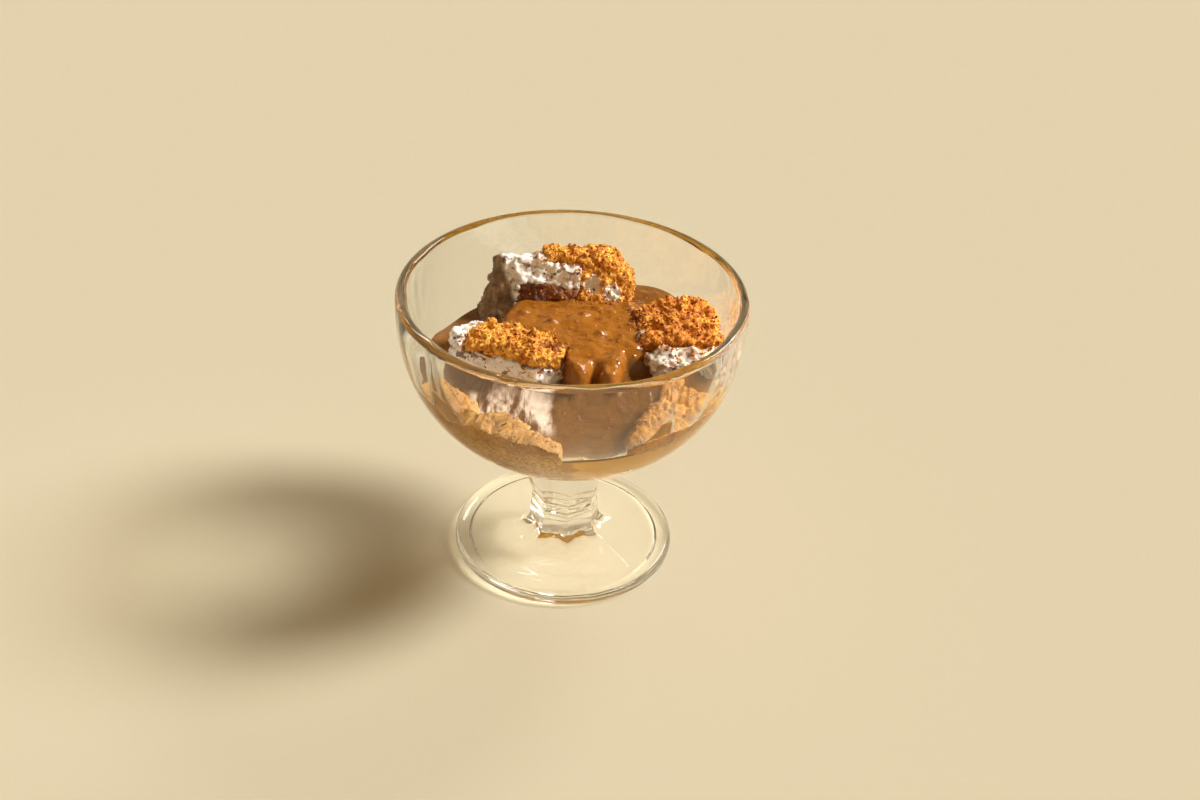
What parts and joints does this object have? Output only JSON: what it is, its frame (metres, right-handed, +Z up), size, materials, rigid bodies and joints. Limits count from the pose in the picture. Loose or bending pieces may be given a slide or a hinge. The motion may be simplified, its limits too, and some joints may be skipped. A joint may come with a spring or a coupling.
{
  "type": "tiramisu cup",
  "caption": "Footed pressed-glass coupe with fluted bowl and faceted stem, filled with crumb-topped tiramisu pieces in coffee caramel sauce.",
  "frame": {"origin": "centre of the foot's underside, on the surface the cup stands on", "axes": "+Z up along the stem, -Y towards the front of the cup, +X to the right seen from the front"},
  "size_m": [0.105, 0.105, 0.093],
  "materials": {
    "glass": "clear pressed glass, polished",
    "sauce": "thick glossy coffee caramel sauce",
    "cream": "soft aerated cream with small holes",
    "sponge": "moist porous sponge",
    "crumb": "rough toasted cake crumbs"
  },
  "bodies": {
    "root": {"coupe_glass": "glass", "coffee_sauce": "sauce", "left_sponge": "sponge", "left_cream": "cream", "left_crumb": "crumb", "right_sponge": "sponge", "right_cream": "cream", "right_crumb": "crumb", "back_sponge": "sponge", "back_cream": "cream", "back_crumb": "crumb"}
  },
  "joints": []
}
